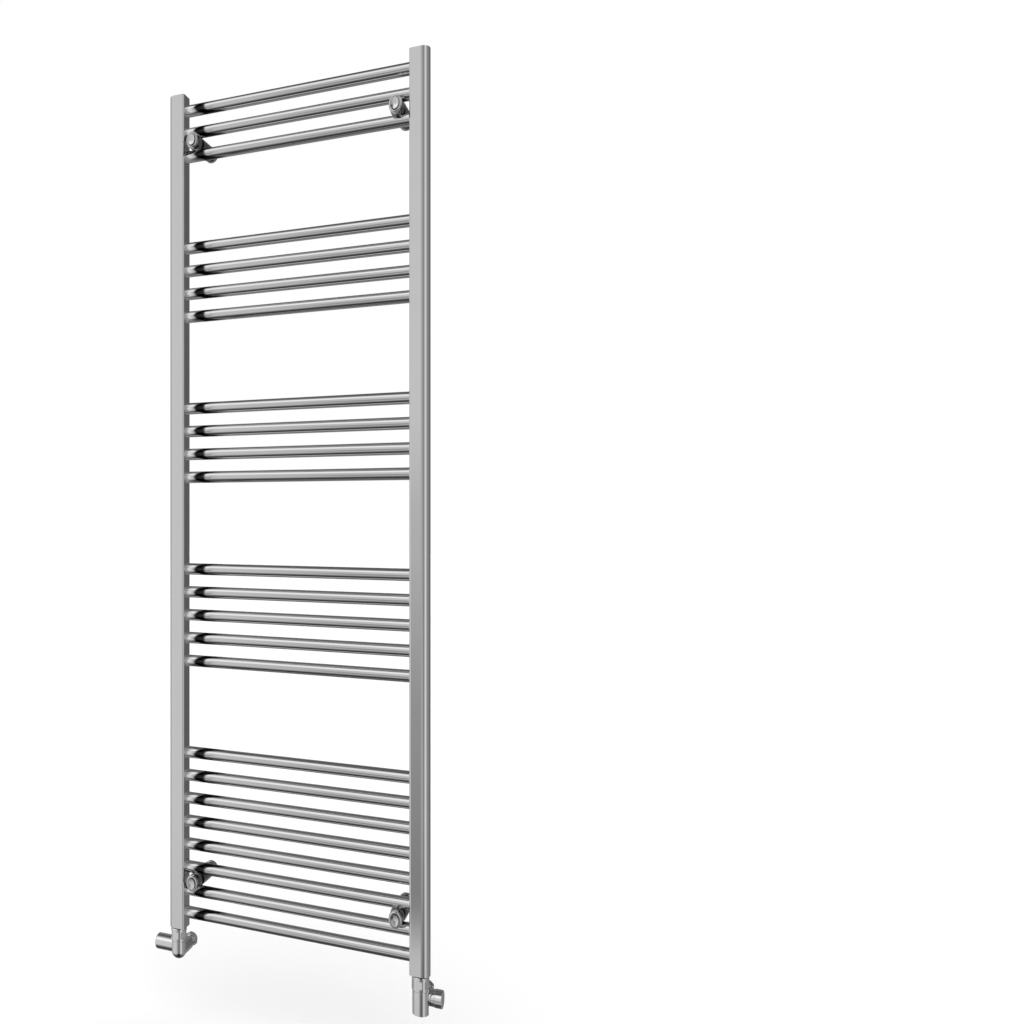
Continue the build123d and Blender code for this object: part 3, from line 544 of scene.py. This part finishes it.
class RADIATOR_OT_add_welds(bpy.types.Operator):
    """Add the weld fillet where each rung enters an upright"""
    bl_idname = "radiator.add_welds"
    bl_label = "Add the Weld Fillets"

    def execute(self, context):
        welds = context.scene.welds
        places = rung_places()
        radius = places[0][1]
        low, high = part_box("left_upright")
        face, middle = high.x, (low.y + high.y) / 2
        sunk = 0.15 * welds.reach
        outline = [(radius + welds.reach, -sunk)]
        for step in range(welds.steps + 1):
            angle = math.radians(90) * step / welds.steps
            outline.append((radius + welds.reach * (1 - math.sin(angle)),
                            welds.reach * (1 - math.cos(angle))))
        outline += [(radius - sunk, welds.reach), (radius - sunk, -sunk)]
        master = turned_ring(outline, WELD_SIDES)
        select_only(master)
        bpy.ops.transform.rotate(value=math.radians(90), orient_axis="Y", center_override=(0, 0, 0))
        bpy.ops.object.transform_apply(location=False, rotation=True, scale=False)
        if max(v.co.x for v in master.data.vertices) < 0.5 * welds.reach:
            bpy.ops.transform.rotate(value=math.radians(180), orient_axis="Z", center_override=(0, 0, 0))
            bpy.ops.object.transform_apply(location=False, rotation=True, scale=False)
        material = bpy.data.materials["rung_chrome"]
        for side, turn, spot in (("left", 0, face), ("right", math.pi, -face)):
            copies = []
            for level, _ in places:
                select_only(master)
                bpy.ops.object.duplicate(linked=False)
                copy = bpy.context.object
                if turn:
                    bpy.ops.transform.rotate(value=turn, orient_axis="Z", center_override=(0, 0, 0))
                bpy.ops.transform.translate(value=(spot, middle, level))
                copies.append(copy)
            select_only(*copies)
            bpy.ops.object.join()
            finished(bpy.context.object, f"{side}_weld_fillets", "radiator", material)
        bpy.data.objects.remove(master)
        return {"FINISHED"}


class RADIATOR_OT_add_port_thread(bpy.types.Operator):
    """Wind the thread inside the lockshield valve's spare port"""
    bl_idname = "radiator.add_port_thread"
    bl_label = "Add the Port Thread"

    def execute(self, context):
        thread = context.scene.threads
        low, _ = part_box("lockshield_valve_body")
        tail_low, tail_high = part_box("lockshield_valve_tail")
        centre = (tail_low + tail_high) / 2
        start_fresh()
        bpy.ops.mesh.primitive_circle_add(vertices=6, radius=0.5, fill_type="NOTHING", location=(0, 0, 0))
        coil = bpy.context.object
        bpy.ops.object.mode_set(mode="EDIT")
        bpy.ops.mesh.select_all(action="SELECT")
        bpy.ops.transform.rotate(value=math.radians(90), orient_axis="X", center_override=(0, 0, 0))
        bpy.ops.transform.resize(value=(2 * thread.height, 1, 0.8 * thread.pitch), center_override=(0, 0, 0))
        bpy.ops.transform.translate(value=(thread.port_radius + 0.1 * thread.height, 0, 0))
        bpy.ops.object.mode_set(mode="OBJECT")
        coiling = coil.modifiers.new("coil", "SCREW")
        coiling.angle = FULL_TURN
        coiling.screw_offset = thread.pitch
        coiling.iterations = THREAD_TURNS
        coiling.steps = coiling.render_steps = THREAD_STEPS
        coiling.use_normal_calculate = True
        bpy.ops.object.modifier_apply(modifier="coil")
        bpy.ops.object.mode_set(mode="EDIT")
        bpy.ops.mesh.select_all(action="SELECT")
        bpy.ops.mesh.remove_doubles(threshold=1e-7)
        bpy.ops.mesh.fill_holes(sides=6)
        bpy.ops.mesh.normals_make_consistent(inside=False)
        bpy.ops.object.mode_set(mode="OBJECT")
        bpy.ops.transform.translate(value=(centre.x, centre.y, low.z + THREAD_START))
        material = metal("port_thread_chrome", *THREAD_FINISH)
        finished(coil, "spare_port_thread", "radiator", material)
        return {"FINISHED"}


def by_angle(stops):
    """Stops in degrees of elevation or azimuth as places from 0 to 1."""
    span = stops[-1][0] - stops[0][0]
    return [((angle - stops[0][0]) / span, level) for angle, level in stops]


def build_studio_light(world, brightness):
    """The studio that the chrome reflects, by direction, with a plain white room for everything else."""
    world.use_nodes = True
    tree = world.node_tree
    background = tree.nodes["Background"]
    right, back, above = apart(tree, add_node(tree, "ShaderNodeTexCoord").outputs["Generated"])
    elevation = mapped(tree, math_node(tree, "ARCSINE", above), -math.pi / 2, math.pi / 2)
    front = math_node(tree, "MULTIPLY", back, -1.0)
    azimuth = mapped(tree, math_node(tree, "ARCTAN2", right, front), -math.pi, math.pi)
    facing = mapped(tree, front, *FACING_SPAN, smooth=True)
    around = mixed(tree, facing, grey_ramp(tree, elevation, by_angle(BACK_BY_ELEVATION)),
                   grey_ramp(tree, elevation, by_angle(FRONT_BY_ELEVATION)))
    belt = grey_ramp(tree, azimuth, by_angle(BELT_BY_AZIMUTH))
    belt_share = grey_ramp(tree, elevation, by_angle(BELT_SHARE_BY_ELEVATION))
    around = math_node(tree, "MULTIPLY", around, grey_ramp(tree, azimuth, by_angle(AROUND_BY_AZIMUTH)))
    studio = mixed(tree, belt_share, around, belt)
    dip = mixed(tree, grey_ramp(tree, azimuth, by_angle(DIP_SHARE_BY_AZIMUTH)), 1.0,
                grey_ramp(tree, elevation, by_angle(DIP_BY_ELEVATION)))
    studio = math_node(tree, "MULTIPLY", math_node(tree, "MULTIPLY", studio, dip), brightness)

    path = add_node(tree, "ShaderNodeLightPath")
    seen = mixed(tree, path.outputs["Is Diffuse Ray"], studio, FLOOR_LIGHT)
    plug_in(tree, background.inputs["Strength"], mixed(tree, path.outputs["Is Camera Ray"], seen, 1.0))
    background.inputs["Color"].default_value = (1, 1, 1, 1)


class RADIATOR_OT_set_stage(bpy.types.Operator):
    """Lay the floor, light the studio and place the camera"""
    bl_idname = "radiator.set_stage"
    bl_label = "Set the Stage"

    def execute(self, context):
        scene = context.scene
        studio = scene.studio
        world = bpy.data.worlds.new("studio")
        scene.world = world
        build_studio_light(world, studio.brightness)
        scene.view_settings.view_transform = "Standard"
        scene.view_settings.look = "None"

        low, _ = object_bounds()
        start_fresh()
        bpy.ops.mesh.primitive_plane_add(size=FLOOR_SIZE, location=(0, 0, low.z - studio.floor_drop))
        floor = context.object
        floor.name = "floor"
        floor.visible_glossy = False
        pale = bpy.data.materials.new("floor_pale")
        pale.use_nodes = True
        shader = pale.node_tree.nodes["Principled BSDF"]
        shader.inputs["Base Color"].default_value = (FLOOR_GREY, FLOOR_GREY, FLOOR_GREY, 1)
        shader.inputs["Roughness"].default_value = 0.9
        shader.inputs["Specular IOR Level"].default_value = 0.0
        floor.data.materials.append(pale)
        floor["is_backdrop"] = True

        bpy.ops.object.camera_add(location=tuple(studio.camera_place),
                                  rotation=(math.radians(90), 0, studio.camera_turn))
        camera = context.object
        camera.name = "camera"
        camera.data.lens = studio.lens
        camera.data.sensor_width = SENSOR_WIDTH
        camera.data.shift_x = CAMERA_SHIFT
        camera.data.clip_start = 0.05
        camera.data.clip_end = 60
        scene.camera = camera
        return {"FINISHED"}


class RADIATOR_PT_panel(bpy.types.Panel):
    """Lists the steps of the build"""
    bl_idname = "RADIATOR_PT_panel"
    bl_label = "Towel Radiator"
    bl_space_type = "VIEW_3D"
    bl_region_type = "UI"
    bl_category = "Radiator"

    def draw(self, context):
        for group in SETTINGS:
            settings = getattr(context.scene, group)
            box = self.layout.box()
            for name in settings.__annotations__:
                box.prop(settings, name)
        for step in STEPS:
            self.layout.operator(step.bl_idname)


STEPS = (
    RADIATOR_OT_plate_ladder,
    RADIATOR_OT_plate_brackets,
    RADIATOR_OT_plate_valves,
    RADIATOR_OT_add_welds,
    RADIATOR_OT_add_port_thread,
    RADIATOR_OT_set_stage,
)
SETTINGS = {
    "plating": PlatingSettings,
    "welds": WeldSettings,
    "threads": ThreadSettings,
    "studio": StudioSettings,
}


def register():
    """Register the settings, steps and panel."""
    for kind in (*SETTINGS.values(), *STEPS, RADIATOR_PT_panel):
        bpy.utils.register_class(kind)
    for name, kind in SETTINGS.items():
        setattr(bpy.types.Scene, name, PointerProperty(type=kind))


def unregister():
    """Remove the settings, steps and panel."""
    for name in SETTINGS:
        delattr(bpy.types.Scene, name)
    for kind in (RADIATOR_PT_panel, *reversed(STEPS), *SETTINGS.values()):
        bpy.utils.unregister_class(kind)


def main():
    """Build everything in order."""
    register()
    for step in STEPS:
        group, name = step.bl_idname.split(".")
        getattr(getattr(bpy.ops, group), name)()


if __name__ == "__main__":
    main()
